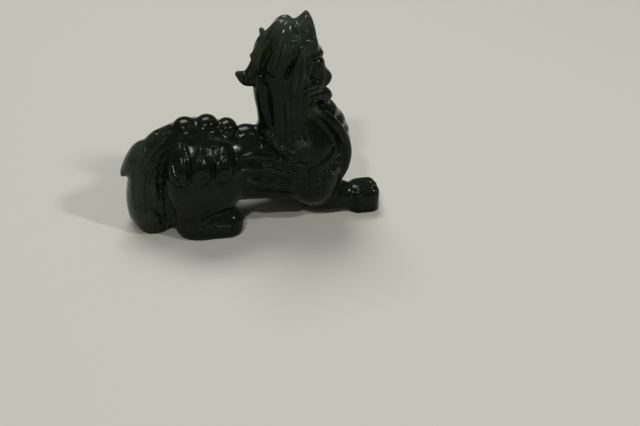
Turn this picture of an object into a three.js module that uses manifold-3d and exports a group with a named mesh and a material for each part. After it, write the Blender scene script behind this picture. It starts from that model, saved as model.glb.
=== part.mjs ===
// A jade pixiu, a crouching winged beast, carved from one block of dark green stone.
// Millimetres, +Z up. +X points from the tail to the head, +Y to the beast's left.
// The origin is on the table, under the middle of the carving.
// A roll is a ball of stone drawn out along a curve, with its own width at each station.
// Low relief is drawn on a side view and laid on the skin of the large masses.
import * as THREE from 'three';
import { RoundedBoxGeometry } from 'three/addons/geometries/RoundedBoxGeometry.js';
import { mergeVertices } from 'three/addons/utils/BufferGeometryUtils.js';
import Module from 'manifold-3d';

const wasm = await Module();
wasm.setup();

// Driving dimensions: the whole figure, tail to front paw, table to nose, side to side.
const length = 128.5;
const height = 109;
const width = 45;

// Main stations along the body, from tail to nose.
const tailX = -length / 2;
const pawX = length / 2;
const rump = { x: -27, z: 31, long: 23, half: 17.5, tall: 24.5 };
const thigh = { x: -25.5, y: 12, z: 26, long: 18.5, half: width / 2 - 12, tall: 20.5 };
const breast = { x: 27, z: 36, long: 20.5, half: 17, tall: 23 };
const shoulder = { x: 27, y: 9.5, z: 33, long: 15, half: 8.5, tall: 19 };
const skull = { x: 16.8, z: 88.8, long: 11.6, half: 11.2, tall: 16.4 };
const sides = { right: -1, left: 1 };

// Facets round a roll and along it, for large masses and for relief.
const coarse = { round: 11, along: 7 };
const middle = { round: 8, along: 6 };
const fine = { round: 5, along: 5 };
const bead = { round: 6, along: 4 };

// Joined surfaces closer than this run together.
const joint = 0.01;

// A board's outer faces are this share of its outline, and its full outline is this share
// of its half width from the middle plane.
const boardRim = 0.82;
const boardCore = 0.55;

// Turns a geometry into a solid that can be joined and cut.
function solid(geometry) {
  geometry.deleteAttribute('normal');
  geometry.deleteAttribute('uv');
  const merged = mergeVertices(geometry, 1e-4);
  return new wasm.Manifold(new wasm.Mesh({
    numProp: 3,
    tolerance: joint,
    vertProperties: Float32Array.from(merged.attributes.position.array),
    triVerts: Uint32Array.from(merged.index.array),
  }));
}

// Turns a solid back into a geometry.
function geometryOf(form) {
  const mesh = form.getMesh();
  const geometry = new THREE.BufferGeometry();
  geometry.setAttribute('position', new THREE.BufferAttribute(mesh.vertProperties, 3));
  geometry.setIndex(new THREE.BufferAttribute(mesh.triVerts, 1));
  return geometry;
}

function join(forms) {
  return forms.reduce((whole, form) => whole.add(form));
}

// An egg-shaped mass with its own half length, half width and half height.
function ball(x, y, z, long, half, tall, facets = coarse) {
  const geometry = new THREE.SphereGeometry(1, facets.round, facets.along);
  geometry.rotateX(Math.PI / 2);
  geometry.scale(long, half, tall);
  geometry.translate(x, y, z);
  return solid(geometry);
}

// A block with rounded corners, for the paws.
function brick(x, y, z, long, half, tall, corner) {
  const geometry = new RoundedBoxGeometry(2 * long, 2 * half, 2 * tall, 1, corner);
  geometry.translate(x, y, z);
  return solid(geometry);
}

// A board across the middle plane, with a closed outline in the side view. Its half width
// goes straight from the first station of axis x or z to the last, and its rims are eased.
function board(outline, axis, first, last) {
  const shape = new THREE.Shape(outline.map(([x, z]) => new THREE.Vector2(x, z)));
  const geometry = new THREE.ExtrudeGeometry(shape, { depth: 3, steps: 3, bevelEnabled: false });
  const middle = outline.reduce((sum, [x, z]) => [sum[0] + x, sum[1] + z], [0, 0])
    .map((sum) => sum / outline.length);
  const position = geometry.attributes.position;
  for (let i = 0; i < position.count; i += 1) {
    const layer = position.getZ(i) - 1.5;
    const outer = Math.abs(layer) > 1;
    const ease = outer ? boardRim : 1;
    const x = THREE.MathUtils.lerp(middle[0], position.getX(i), ease);
    const z = THREE.MathUtils.lerp(middle[1], position.getY(i), ease);
    const place = axis === 'x' ? x : z;
    const share = THREE.MathUtils.clamp((place - first.at) / (last.at - first.at), 0, 1);
    const half = THREE.MathUtils.lerp(first.half, last.half, share);
    position.setXYZ(i, x, -Math.sign(layer) * half * (outer ? 1 : boardCore), z);
  }
  return solid(geometry);
}

// The value at a share of the way through a short list, with straight steps between.
function between(list, share) {
  const place = Math.min(Math.max(share, 0), 1) * (list.length - 1);
  const index = Math.min(Math.floor(place), list.length - 2);
  return THREE.MathUtils.lerp(list[index], list[index + 1], place - index);
}

// A ball drawn out along a curve: halves are its half widths in the side view, and depth
// is how much wider or narrower it is across the body.
function roll(points, halves, { depth = 1, facets = fine, blunt = 0.5 } = {}) {
  const curve = new THREE.CatmullRomCurve3(points.map((point) => new THREE.Vector3(...point)));
  const geometry = new THREE.SphereGeometry(1, facets.round, facets.along);
  const position = geometry.attributes.position;
  for (let i = 0; i < position.count; i += 1) {
    const pole = THREE.MathUtils.clamp(position.getY(i), -1, 1);
    const share = (1 - pole) / 2;
    const swell = Math.sqrt(Math.max(1 - pole * pole, 0)) ** blunt;
    const turn = Math.atan2(position.getZ(i), position.getX(i));
    const along = curve.getTangentAt(share);
    const across = new THREE.Vector3(0, 1, 0).addScaledVector(along, -along.y).normalize();
    const other = new THREE.Vector3().crossVectors(along, across);
    const half = between(halves, share) * (Math.abs(pole) > 0.9999 ? 0 : swell);
    const spot = curve.getPointAt(share);
    spot.addScaledVector(across, half * depth * Math.cos(turn));
    spot.addScaledVector(other, half * Math.sin(turn));
    position.setXYZ(i, spot.x, spot.y, spot.z);
  }
  return solid(geometry);
}

// The same thing on the right and on the left.
function pair(make) {
  return Object.values(sides).map(make).flat();
}

// The large masses: rump, thighs, barrel, breast, shoulders, neck and skull.
function roughOut() {
  const barrel = [[-24, 0, 31], [-8, 0, 29], [8, 0, 28.4], [24, 0, 31]];
  const neck = [[27, 0, 28], [22, 0, 46], [18.3, 0, 60], [16.5, 0, 76], [17, 0, 90]];
  return join([
    ball(rump.x, 0, rump.z, rump.long, rump.half, rump.tall),
    ball(breast.x, 0, breast.z, breast.long, breast.half, breast.tall),
    ball(skull.x, 0, skull.z, skull.long, skull.half, skull.tall),
    roll(barrel, [18, 18.6, 18.6, 18], { depth: 0.88, facets: coarse, blunt: 0.3 }),
    roll(neck, [17, 19, 17, 15.5, 10], { depth: 0.76, facets: coarse, blunt: 0.35 }),
    ball(33, -3, 24, 12.5, 11, 13),
    ...pair((side) => [
      ball(thigh.x, side * thigh.y, thigh.z, thigh.long, thigh.half, thigh.tall),
      ball(shoulder.x, side * shoulder.y, shoulder.z, shoulder.long, shoulder.half, shoulder.tall),
    ]),
  ]);
}

const rough = roughOut();
const skin = new THREE.Mesh(geometryOf(rough), new THREE.MeshBasicMaterial({ side: THREE.DoubleSide }));
skin.updateMatrixWorld();
const reach = 200;

// Where a straight line from outside first meets the rough masses.
function touch(start, direction) {
  const ray = new THREE.Raycaster(new THREE.Vector3(...start), new THREE.Vector3(...direction));
  const hit = ray.intersectObject(skin)[0];
  return hit ? hit.point : null;
}

// A point of the side view, laid on the skin of one side and lifted off it a little.
function onSide(side, x, z, lift = 0) {
  const hit = touch([x, side * reach, z], [0, -side, 0]);
  const y = hit ? Math.abs(hit.y) : 0;
  return [x, side * (y + lift), z];
}

// Relief on one side: a roll along points of the side view.
function relief(side, trace, halves, options = {}) {
  const lift = options.lift ?? 0;
  return roll(trace.map(([x, z]) => onSide(side, x, z, lift)), halves, options);
}

// The tail: a thick brush that falls from the rump to the table, with long locks on it.
const tailPath = [[-32, 0, 49.5], [-44, 0, 46.5], [-52.5, 0, 36], [-55.5, 0, 20], [-52, 0, 7]];
const tailHalves = [6, 6.5, 7.5, 8, 9];
const tailDepth = 1.45;

// A point on the brush: share is the way down it, turn goes round it from the back.
function onTail(share, turn, lift) {
  const curve = new THREE.CatmullRomCurve3(tailPath.map((point) => new THREE.Vector3(...point)));
  const along = curve.getTangentAt(share);
  const across = new THREE.Vector3(0, 1, 0);
  const back = new THREE.Vector3().crossVectors(across, along).negate();
  const half = between(tailHalves, share) + lift;
  const spot = curve.getPointAt(share);
  spot.addScaledVector(across, half * tailDepth * Math.sin(turn));
  spot.addScaledVector(back, half * Math.cos(turn));
  return spot.toArray();
}

function tail() {
  const locks = 5;
  const shares = [0.04, 0.35, 0.65, 0.96];
  const brush = roll(tailPath, tailHalves, { depth: tailDepth, facets: coarse });
  const strands = Array.from({ length: locks }, (_, index) => {
    const turn = THREE.MathUtils.lerp(-1.5, 1.5, index / (locks - 1));
    const path = shares.map((share) => onTail(share, turn * Math.min(1, 0.4 + share), -0.6));
    return roll(path, [1.2, 2.8, 3, 2.4], { blunt: 0.4 });
  });
  const flick = [[-55, 0, 40], [-60, 0, 34], [tailX, 0, 28]];
  const heel = [[-57, 0, 22], [-61, 0, 14], [-61.5, 0, 5]];
  const curls = pair((side) => [
    ball(-50.5, side * 7, 6.5, 9, 7, 10, middle),
    roll([[-43.5, side * 9, 32], [-42.5, side * 11.5, 20], [-43.5, side * 11.5, 8]], [2, 3.4, 2.4]),
    roll([[-45.5, side * 7, 43], [-47.6, side * 8.4, 31], [-47.6, side * 9, 19], [-46.5, side * 9, 8]],
      [2.4, 3.2, 3.2, 2.6]),
  ]);
  return [brush, ...strands, roll(flick, [4, 3.4, 1], { depth: 2 }),
    roll(heel, [4, 3.2, 2.2], { depth: 2.2 }), ...curls];
}

// Knobs of the spine, from the tail's root to the saddle.
function spine() {
  const knobs = [[-32, 5.8, 57.8], [-21.6, 5.6, 58.2], [-12.2, 5.6, 55.2], [-3, 7, 51]];
  const knob = { half: 6.6, tall: 7 };
  return knobs.map(([x, long, top]) => ball(x, 0, top - knob.tall, long, knob.half, knob.tall, bead));
}

// The hind leg: a long foot on the table with a rounded paw, under the smooth thigh.
function hindLeg(side) {
  const sole = [[-37, 11, 4], [-27, 13.3, 4], [-15, 14, 4]];
  return [
    ball(-29, side * 12, 12, 12, 9.3, 17, middle),
    roll(sole.map(([x, y, z]) => [x, side * y, z]), [7, 9.6, 7], { facets: middle, depth: 0.95 }),
    brick(-16, side * 14, 4.2, 9.1, 8.3, 8.4, 7.4),
  ];
}

// Three flame-like locks hang over each thigh and end in curls.
function thighLocks(side) {
  return [0, 1, 2].map((index) => {
    const x = -38.5 + 10.2 * index;
    const low = 34 - index * 0.4;
    const trace = [[x + 3.2, low + 15], [x - 0.4, low + 10], [x - 0.4, low + 4.6], [x + 1.6, low]];
    return relief(side, trace, [1.6, 4.2, 4.8, 3.4], { lift: -2.2, facets: { round: 7, along: 6 } });
  });
}

// Long feathers of the folded wing run back from the shoulder over the ribs.
function wing(side) {
  const rows = [[40.5, 1.9], [35, 2.1], [28.5, 2.6], [21.5, 2.4]];
  const feathers = rows.map(([z, half], index) => relief(
    side,
    [[19, z - 4.5], [8, z - 2], [-3, z], [-9 + index, z - 0.5]],
    [half, half, half, 0.8],
    { lift: -0.7 },
  ));
  const edge = [0, 1, 2, 3].map((index) => {
    const spot = onSide(side, 4.5 + 4.2 * index, 49 - 2.7 * index, -0.6);
    return ball(...spot, 2.2, 2.2, 2.2, bead);
  });
  return [...feathers, ...edge];
}

// The breast: a raised rim on each side, and ribs across the front between the two.
function breastPlate() {
  const rim = [[25, 66], [34, 58.5], [41, 50], [45, 39], [44.5, 28], [41, 20]];
  const rims = pair((side) => roll(
    rim.map(([x, z], index) => [x, side * [9, 9.5, 9.8, 9.8, 9, 8.5][index], z]),
    [1.6, 2.4, 2.6, 2.6, 2.4, 1.6],
    { facets: { round: 6, along: 8 } },
  ));
  const ribs = Array.from({ length: 5 }, (_, index) => {
    const z = 30 + 6.5 * index;
    const front = touch([reach, 0, z], [-1, 0, 0]).x;
    const edge = front - 4;
    return roll([[edge, -8, z + 0.5], [front - 0.9, 0, z - 0.5], [edge, 8, z + 0.5]], [1.7, 2.5, 1.7]);
  });
  const plate = [[30, 0, 61], [37, 0, 56], [42.5, 0, 48], [44.4, 0, 38], [43, 0, 24]];
  return [...rims, ...ribs, roll(plate, [3.6, 3.6, 3.6], { depth: 2.2, facets: middle, blunt: 0.4 })];
}

// The right foreleg reaches forward along the table.
function reachingLeg() {
  const upper = ball(29, -9.5, 21.2, 12.5, 8, 13.4);
  const forearm = roll(
    [[29, -1, 5.5], [38, -3.6, 8], [46, -4.4, 6.6], [52, -4.4, 5.4], [58, -4.4, 5]],
    [8, 9.6, 8, 6.6, 6.4],
    { depth: 0.84, facets: middle, blunt: 0.3 },
  );
  const paw = { long: 7.8, half: 7.8, tall: 9, corner: 5 };
  return [upper, forearm, brick(pawX - paw.long, -4.4, 4.8, paw.long, paw.half, paw.tall, paw.corner)];
}

// Curls round the elbow of each foreleg.
function elbowCurls(side) {
  return [[22, 33.4, 3], [29, 29.4, 3.2], [35, 26, 2.8], [38, 33, 2.6]].map(
    ([x, z, half]) => ball(...onSide(side, x, z, -0.8), half, 2, half, bead),
  );
}

// The left foreleg is folded under the breast, its elbow and paw on the table.
function foldedLeg() {
  const upper = ball(25, 10, 19, 13.5, 8.5, 15);
  const forearm = roll([[10, 12.5, 4.5], [20, 13.5, 4.5], [31, 11, 4.5]], [5.5, 8, 6.5],
    { facets: middle });
  return [upper, forearm, brick(30.4, 11, 3.4, 6.8, 6.8, 7.2, 4.6)];
}

// Outlines of the head in the side view: nose leaf, upper lip, lower jaw and throat.
const noseOutline = [[17, 99.6], [20, 103.6], [22.6, 106.4], [25.2, height], [27.4, 106.2], [29, 101.8],
  [30.2, 96.6], [30.8, 91], [20, 91]];
const lipOutline = [[15, 99], [24, 99], [29.6, 96.8], [31.8, 91.6], [34, 87.2], [33, 85.8], [29, 87], [15, 87]];
const jawOutline = [[15, 84], [25, 86], [31, 86.6], [33.4, 85.6], [35.2, 80.4], [38.9, 73.8], [37.8, 71.2],
  [34.6, 69.8], [26, 69], [15, 69]];
const throatOutline = [[15, 73], [28, 71], [34, 69.4], [38.8, 66], [39.4, 64], [37.2, 61.2], [31, 59], [18, 57]];

// The head is thrown up: horn locks, crest, brows, nose, upper lip, jaw and beard.
function head() {
  const crest = [[15, 0, 104.2], [10.4, 0, 99.8], [6.4, 0, 95.6], [4.6, 0, 90], [3, 0, 83.6],
    [-1, 0, 76.5], [-7, 0, 79]];
  const parts = [
    roll(crest, [2.2, 2.4, 3.2, 3.6, 3.4, 4, 0.6], { depth: 0.9, facets: { round: 6, along: 9 } }),
    ball(5.2, 0, 100, 1.5, 1.5, 2.6, bead),
    ball(-0.4, 0, 88.2, 1.6, 1.5, 1.5, bead),
    board(noseOutline, 'z', { at: 92, half: 6.4 }, { at: height, half: 2.4 }),
    board(lipOutline, 'x', { at: 15, half: 9.4 }, { at: 34, half: 3.2 }),
    board(jawOutline, 'x', { at: 15, half: 9.6 }, { at: 38.6, half: 2.4 }),
    board(throatOutline, 'x', { at: 15, half: 11.6 }, { at: 39, half: 2.4 }),
  ];
  const paired = pair((side) => [
    roll([[14.8, side, 103.6], [12.2, side * 4, 98.8], [10.2, side * 7.2, 92.8], [8.6, side * 9.4, 87],
      [6.8, side * 10.4, 82.4], [5.4, side * 10.8, 78]],
    [2.2, 3, 4, 4.2, 3.6, 2.4], { depth: 0.7, facets: { round: 7, along: 7 } }),
    roll([[17.5, side * 0.6, 103.6], [15.8, side * 5, 99.2], [15.4, side * 8.4, 93],
      [14.2, side * 10.4, 87.4], [12.2, side * 11, 83], [9.4, side * 11, 79]],
    [1.8, 2.9, 3.1, 2.9, 2.6, 2], { facets: { round: 6, along: 7 } }),
    roll([[24.4, side * 5.6, 95.6], [22.6, side * 7, 98], [22, side * 6.4, 101]], [1, 1.4, 1]),
    roll([[33, side * 1.2, 87.6], [30, side * 5.2, 88.6], [26.4, side * 7.4, 88.8], [25, side * 8, 84.4],
      [25.4, side * 8, 78.6]],
    [1.4, 1.6, 1.8, 1.5, 1], { facets: { round: 5, along: 7 } }),
    roll([[22.4, side * 8.8, 90], [22, side * 9.8, 82], [20.8, side * 10.6, 73]], [1.3, 2, 1.4]),
    roll([[19.4, side * 9.8, 88], [18.6, side * 11, 81], [17.4, side * 11.8, 71]], [1.3, 2, 1.4]),
  ]);
  return [...parts, ...paired];
}

// Mane: flat strands that run down each side of the neck.
function mane(side) {
  return [13, 17.5, 22].map((x) => relief(
    side,
    [[x - 0.5, 72], [x, 64], [x + 1, 55], [x + 1.5, 49]],
    [1.6, 2.4, 2.4, 1.2],
    { lift: -0.8 },
  ));
}

// The mouth's corners are hollowed on both sides, and the tongue fills the middle.
function mouthCorners() {
  return join(pair((side) => [
    ball(30, side * 6.6, 81.6, 2.9, 4.2, 4.2, middle),
    ball(31.6, side * 5.8, 78.2, 2.6, 3.4, 2.8, middle),
  ]));
}

// Everything below the table's plane, which the block's flat underside leaves away.
function underTable() {
  const slab = new THREE.BoxGeometry(2 * length, 2 * length, length);
  slab.translate(0, 0, -length / 2);
  return solid(slab);
}

const figure = join([
  rough,
  ...tail(),
  ...spine(),
  ...pair((side) => [...hindLeg(side), ...thighLocks(side), ...wing(side), ...mane(side), ...elbowCurls(side)]),
  ...breastPlate(),
  ...reachingLeg(),
  ...foldedLeg(),
  ...head(),
]).subtract(mouthCorners()).subtract(underTable());

// The outer skin alone: stone fills every pocket that the joined masses shut in.
function outerSkin(geometry) {
  const index = Array.from(geometry.index.array);
  const leader = Array.from({ length: geometry.attributes.position.count }, (_, vertex) => vertex);
  const find = (vertex) => {
    let root = vertex;
    while (leader[root] !== root) root = leader[root];
    leader[vertex] = root;
    return root;
  };
  for (let i = 0; i < index.length; i += 3) {
    leader[find(index[i + 1])] = find(index[i]);
    leader[find(index[i + 2])] = find(index[i]);
  }
  const sizes = new Map();
  index.forEach((vertex) => sizes.set(find(vertex), (sizes.get(find(vertex)) ?? 0) + 1));
  const largest = [...sizes].sort((a, b) => b[1] - a[1])[0][0];
  geometry.setIndex(index.filter((vertex) => find(vertex) === largest));
  return geometry;
}

const jade = new THREE.MeshStandardMaterial({ color: 0x1c2a20, roughness: 0.22, metalness: 0 });
const carving = new THREE.Mesh(outerSkin(geometryOf(figure)), jade);
carving.name = 'pixiu_carving';
const part = new THREE.Group();
part.add(carving);
export default part;
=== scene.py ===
# %% [markdown]
# A jade pixiu: a crouching winged beast with its head thrown up, carved from one block of dark
# green stone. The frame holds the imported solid. Its box is measured first, because the finished
# carving has to stay inside it.

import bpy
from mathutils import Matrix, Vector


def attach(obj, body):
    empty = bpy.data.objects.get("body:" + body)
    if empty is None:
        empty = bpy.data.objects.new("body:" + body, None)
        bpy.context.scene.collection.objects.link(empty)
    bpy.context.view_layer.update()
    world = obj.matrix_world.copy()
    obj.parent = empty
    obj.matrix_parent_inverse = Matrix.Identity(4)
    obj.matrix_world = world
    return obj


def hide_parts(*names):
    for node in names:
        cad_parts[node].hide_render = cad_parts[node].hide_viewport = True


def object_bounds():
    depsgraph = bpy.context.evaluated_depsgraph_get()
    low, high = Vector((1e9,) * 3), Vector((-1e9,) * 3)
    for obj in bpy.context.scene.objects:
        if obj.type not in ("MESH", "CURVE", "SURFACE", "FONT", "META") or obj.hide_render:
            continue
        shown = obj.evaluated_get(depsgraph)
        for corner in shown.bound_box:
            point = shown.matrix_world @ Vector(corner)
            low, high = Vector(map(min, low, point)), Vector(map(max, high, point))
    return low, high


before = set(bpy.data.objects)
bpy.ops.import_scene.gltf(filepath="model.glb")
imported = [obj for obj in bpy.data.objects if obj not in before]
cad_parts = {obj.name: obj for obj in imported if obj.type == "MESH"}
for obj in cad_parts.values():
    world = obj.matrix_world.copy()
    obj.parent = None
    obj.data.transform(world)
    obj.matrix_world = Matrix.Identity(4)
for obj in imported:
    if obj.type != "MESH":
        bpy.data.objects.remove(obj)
cad_low, cad_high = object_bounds()
print("solid's box in millimetres", [round(v * 1000, 1) for v in (*cad_low, *cad_high)])

# %% [markdown]
# All drawings below are in millimetres, as a carver would mark them on the block, with X from
# tail to nose, Y to the beast's left and Z up from the table. Blender works in metres, so one
# constant turns one into the other. All but the forelegs is the same on both sides, so most
# forms are made once for each side.

# %% Units and sides
import math

import bpy
import numpy as np
from mathutils import Matrix, Vector

MM = 0.001
RIGHT, LEFT = -1, 1
BOTH = (RIGHT, LEFT)
length, width, height = 128.5, 45.0, 109.0
tail_x, paw_x = -length / 2, length / 2


def to_side(side, points):
    """The same points on one side of the beast: their Y is how far out they lie."""
    return [(x, side * y, z) for x, y, z in points]


print("carving", length, "x", width, "x", height, "mm")

# %% [markdown]
# Almost every form on the beast follows a bend: the tail, the horns, the crest, the feathers. A
# Bezier curve could be drawn for each. A few stations with a smooth line through them are easier
# to write down and to change, and the half width at each station is eased in the same way.

# %% Smooth lines
def through(stations, step):
    """Places along a smooth line through the stations. Every column is eased in the same way."""
    stations = np.array(stations, float)
    gaps = np.linalg.norm(np.diff(stations[:, :3], axis=0), axis=1)
    knots = np.concatenate(([0.0], np.cumsum(gaps)))
    slopes = np.gradient(stations, knots, axis=0)
    where = np.linspace(0, knots[-1], max(3, int(knots[-1] / step) + 2))
    span = np.clip(np.searchsorted(knots, where, side="right") - 1, 0, len(knots) - 2)
    wide = (knots[span + 1] - knots[span])[:, None]
    t = (where - knots[span])[:, None] / wide
    a, b = stations[span], stations[span + 1]
    m, n = slopes[span] * wide, slopes[span + 1] * wide
    rise = t * t * (3 - 2 * t)
    return a + (b - a) * rise + m * t * (1 - t) ** 2 - n * t * t * (1 - t)


def widened(points, halves, step):
    """A smooth line of places, each with its half width as a fourth number."""
    return through([(*point, half) for point, half in zip(points, halves)], step)


short_bend = widened([(0, 0, 0), (10, 0, 5), (20, 0, 0)], [1, 2, 1], 1.0)
print("a short bend has", len(short_bend), "places")

# %% [markdown]
# A carver starts with a block and takes stone away until rounded masses are left that flow into
# one another. Metaballs give such masses, but can't be cut, and a sculpted mesh can't be written
# down. So the stone is an even grid of numbers here. Each says how far its place is from the
# stone's skin, and is negative inside. A form is merged with the stone, or cut out of it, with a
# seam whose softness is chosen for each form.

# %% The block
FAR, TINY = 30.0, 1e-9
grain, margin = 0.5, 2.4
spare = 2 * grain
block_low = (tail_x - margin, -width / 2 - margin, -margin)
block_high = (paw_x + margin, width / 2 + margin, height + margin)
axes = [np.arange(a, b + grain, grain, dtype=np.float32) for a, b in zip(block_low, block_high)]
field = np.full([len(axis) for axis in axes], FAR, np.float32)


def near(low, high):
    """The part of the grid inside a small box, and its coordinates."""
    part, places = [], []
    for i, axis in enumerate(axes):
        first, last = np.searchsorted(axis, (low[i], high[i]))
        part.append(slice(first, max(last, first + 1)))
        places.append(axis[part[i]].reshape([-1 if j == i else 1 for j in range(3)]))
    return tuple(part), places


def merge(part, form, soft, hollow=False):
    """Joins a form to the stone, or hollows the stone with it, with a seam of this softness."""
    old = -field[part] if hollow else field[part]
    seam_share = np.maximum(soft - np.abs(old - form), 0) / soft
    new = np.minimum(old, form) - seam_share * seam_share * soft / 4
    field[part] = -new if hollow else new


print("grid", field.shape)

# %% [markdown]
# The rough-out comes first. A carver saws and grinds the large masses before any detail, and the
# wheel leaves them egg-like. So the first tool is a ball with three half sizes. The rump and the
# breast are such balls, and a wide soft seam will make them one body.

# %% Balls: rump and breast
wide_seam, seam, tight = 6.0, 2.6, 1.0
least_slope = 1e-4


def ball(centre, halves, soft, hollow=False):
    """An egg-shaped mass with its own half length, half width and half height."""
    centre, halves = np.array(centre, float), np.array(halves, float)
    edge = halves + soft + spare
    part, places = near(centre - edge, centre + edge)
    away = [p - c for p, c in zip(places, centre)]
    scaled = np.sqrt(sum((d / h) ** 2 for d, h in zip(away, halves)))
    slope = np.sqrt(sum((d / h**2) ** 2 for d, h in zip(away, halves)))
    merge(part, scaled * (scaled - 1) / np.maximum(slope, least_slope), soft, hollow)


def volume():
    """How much stone there is, in whole cubic centimetres."""
    return int((field < 0).sum() * grain**3 / 1000)


rump = (-27, 0, 31), (23, 17.5, 24.5)
breast = (27, 0, 36), (20.5, 17, 23)
ball(*rump, wide_seam)
ball(*breast, wide_seam)
print("rump and breast", volume(), "cubic centimetres")

# %% [markdown]
# The barrel and the neck are long masses that bend. The second tool is a ball drawn out along a
# bend. Its depth says how much wider it is across the body than in the side view.

# %% Rolls: barrel and neck
roll_step, blunt_end = 1.6, 0.2


def roll(points, halves, depth, soft, hollow=False):
    """A ball drawn out along a bend, with rounded ends."""
    path = widened(points, halves, roll_step)
    spots, stretch = path[:, :3], np.array((1, depth, 1))
    gone = np.concatenate(([0], np.cumsum(np.linalg.norm(np.diff(spots, axis=0), axis=1))))
    half = np.minimum(path[:, 3], np.minimum(gone, gone[-1] - gone) + blunt_end)
    edge = (np.max(half) + soft + spare) * np.maximum(stretch, 1)
    part, places = near(spots.min(0) - edge, spots.max(0) + edge)
    form = np.full([p.size for p in places], FAR, np.float32)
    for a, b, half_a, half_b in zip(spots[:-1], spots[1:], half[:-1], half[1:]):
        here, inner = near(np.minimum(a, b) - edge, np.maximum(a, b) + edge)
        local = tuple(slice(h.start - p.start, h.stop - p.start) for h, p in zip(here, part))
        way = (b - a) / stretch
        offs = [(p - s) / w for p, s, w in zip(inner, a, stretch)]
        share = sum(o * w for o, w in zip(offs, way)) / max(way @ way, TINY)
        share = np.clip(share, 0, 1)
        gap = np.sqrt(sum((o - share * w) ** 2 for o, w in zip(offs, way)))
        form[local] = np.minimum(form[local], gap - (half_a + share * (half_b - half_a)))
    merge(part, form * min(1, depth), soft, hollow)


barrel = [(-36, 0, 31), (-8, 0, 29), (8, 0, 28.4), (36, 0, 31)]
neck = [(27, 0, 20), (22, 0, 46), (18.3, 0, 60), (16.2, 0, 75), (17.4, 0, 93)]
roll(barrel, [18, 18.6, 18.6, 18], 0.88, wide_seam)
roll(neck, [17, 18, 15.8, 15.2, 9.4], 0.76, wide_seam)
print("with barrel and neck", volume(), "cubic centimetres")

# %% [markdown]
# The skull, the keel of the breast, the thighs and the shoulders stand out a little more from the
# body. They are balls again, with a narrower seam.

# %% Skull, keel, thighs and shoulders
skull = (16.8, 0, 88.8), (11.6, 11.2, 16.4)
keel = (33, -3, 24), (12.5, 11, 13)
ball(*skull, seam)
ball(*keel, seam)
for side in BOTH:
    ball((-25.5, side * 12, 26), (18.5, 10.5, 20.5), seam)
    ball((27, side * 9.5, 33), (15, 8.5, 19), seam)
print("rough masses", volume(), "cubic centimetres")

# %% [markdown]
# The tail is a thick brush that falls from the rump to the table, ground as one fat roll. The
# flick at its outer edge, the heel and the locks at its sides get tighter seams, so that they
# stay readable. Its strands are cut later.

# %% Tail
tail_path = [(-32, 0, 49), (-43.5, 0, 45.6), (-51.5, 0, 36), (-54.4, 0, 20), (-52, 0, 1)]
tail_halves = [5, 5.4, 6.4, 7.4, 8]
tail_depth = 1.5
flick = [(-52, 0, 43), (-58.5, 0, 36), (tail_x, 0, 28.4)]
heel = [(-56, 0, 25), (-59.8, 0, 14), (-60, 0, 2)]
inner_lock = [(-45.5, 7, 43), (-47.6, 8.4, 31), (-47.6, 9, 19), (-46.5, 9, 8)]
outer_lock = [(-43.5, 9, 34), (-42.3, 11.5, 20), (-43.5, 11.5, 5)]
roll(tail_path, tail_halves, tail_depth, seam)
roll(flick, [4, 3.2, 1], 2, 3.4)
roll(heel, [3.4, 2.8, 2.2], 2.4, seam)
for side in BOTH:
    ball((-50.5, side * 7, 6.5), (9, 7, 10), seam)
    roll(to_side(side, inner_lock), [2.4, 3.2, 3.2, 2.6], 1, tight)
    roll(to_side(side, outer_lock), [2, 3.4, 2.6], 1, tight)
print("tail reaches", tail_x, "mm")

# %% [markdown]
# Four knobs run down the spine. A carver rounds them with a cup-shaped burr, each a little
# different. Here they are balls half sunk in the back.

# %% Spine knobs
knobs = [(-32, 5.8, 57.3), (-21.6, 5.6, 57.8), (-12.2, 5.2, 55), (-3, 7, 50.6)]
knob_half, knob_tall, knob_seam = 6, 4.6, 1.3
for x, half, top in knobs:
    ball((x, 0, top - knob_tall), (half, knob_half, knob_tall), knob_seam)
print("spine knobs", len(knobs))

# %% [markdown]
# Paws are sawn as blocks and then rounded, so the third tool is a brick with rounded corners. Each
# hind leg is a thick lower thigh and a long foot. The soles get flat at the very end, when the
# table's plane cuts the block.

# %% Bricks: hind legs
def brick(centre, halves, corner, soft):
    """A block with rounded corners."""
    centre, halves = np.array(centre, float), np.array(halves, float)
    edge = halves + soft + spare
    part, places = near(centre - edge, centre + edge)
    over = [np.abs(p - c) - h + corner for p, c, h in zip(places, centre, halves)]
    outside = np.sqrt(sum(np.maximum(o, 0) ** 2 for o in over))
    inside = np.minimum(np.maximum(np.maximum(over[0], over[1]), over[2]), 0)
    merge(part, outside + inside - corner, soft)


hind_foot = [(-40, 11, 4), (-27, 13.3, 4), (-15, 14, 4)]
for side in BOTH:
    ball((-29, side * 12, 12), (12, 9.3, 17), seam)
    roll(to_side(side, hind_foot), [7, 9.6, 7], 0.95, seam)
    brick((-16, side * 14, 4.2), (9.1, 8.3, 8.4), 7.4, 1.8)
print("hind feet", len(BOTH))

# %% [markdown]
# The right foreleg reaches forward on the table, and the left one is folded under the breast.
# These two differ, so each is written out by itself.

# %% Forelegs
forearm = [(24, -1, 5.5), (38, -3.8, 8), (46, -4.4, 6.6), (52, -4.4, 5.4), (58, -4.4, 5)]
folded = [(8, 12.5, 4.5), (20, 13.5, 4.5), (34, 11, 4.5)]
ball((29, -9.5, 21.2), (12.5, 8, 13.4), 4)
roll(forearm, [8, 9.6, 8, 6.8, 6.4], 0.84, seam)
brick((56.5, -4.4, 4.8), (7.8, 7.8, 9), 5, 2.2)
ball((25, 10, 19), (13.5, 8.5, 15), seam)
roll(folded, [5.5, 8, 6.5], 1, seam)
brick((30.4, 11, 3.4), (6.8, 6.8, 7.2), 5.4, 1.8)
print("the right paw reaches", paw_x, "mm")

# %% [markdown]
# The breast carries a raised rim on each side, which meets the throat above and the leg below. A
# rim is a roll, and the crease behind it is the same roll moved back and cut out.

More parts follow.
